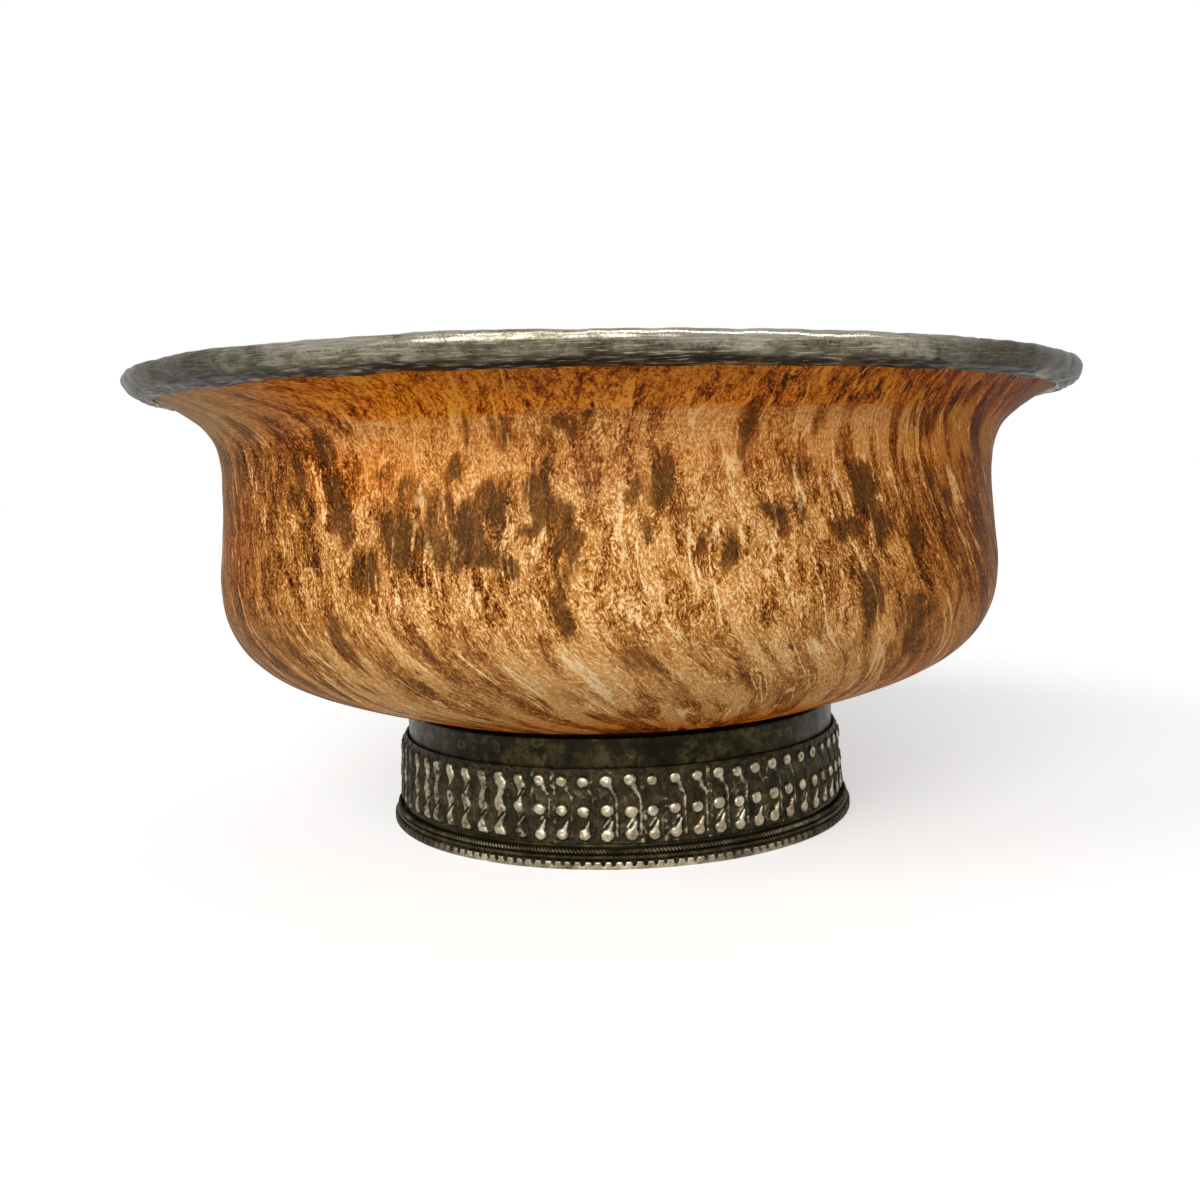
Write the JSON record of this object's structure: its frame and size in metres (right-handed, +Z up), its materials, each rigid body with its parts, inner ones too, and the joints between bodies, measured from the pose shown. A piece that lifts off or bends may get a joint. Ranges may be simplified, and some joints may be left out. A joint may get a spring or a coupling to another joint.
{
  "type": "tea bowl",
  "caption": "Turned burl-wood tea bowl with a flared lip bound in tarnished silver, a sheet lining and a silver foot with a band of beaded relief.",
  "frame": {"origin": "on the bowl's axis, at the level of the surface it stands on", "axes": "+Z up along the bowl's axis; -Y towards the side that the picture shows"},
  "size_m": [0.13, 0.13, 0.0624],
  "materials": {
    "burl_wood": "figured burl, oiled and worn to a soft sheen",
    "rim_silver": "hammered silver with a grey-green tarnish",
    "lining_silver": "sheet silver, dulled and lightly scratched",
    "dark_silver": "silver with a dark brown-grey tarnish",
    "worn_silver": "dark in the hollows and worn bright on the relief",
    "lac": "set lac cement"
  },
  "bodies": {
    "root": {"wood_bowl": "burl_wood", "silver_lining": "lining_silver", "rim_binding": "rim_silver", "lac_bedding": "lac", "foot_collar": "dark_silver", "foot_flange": "dark_silver", "base_pan": "dark_silver", "ornament_band": "worn_silver", "plain_wire": "worn_silver", "rope_wire": "worn_silver", "milled_edge": "worn_silver"}
  },
  "joints": []
}
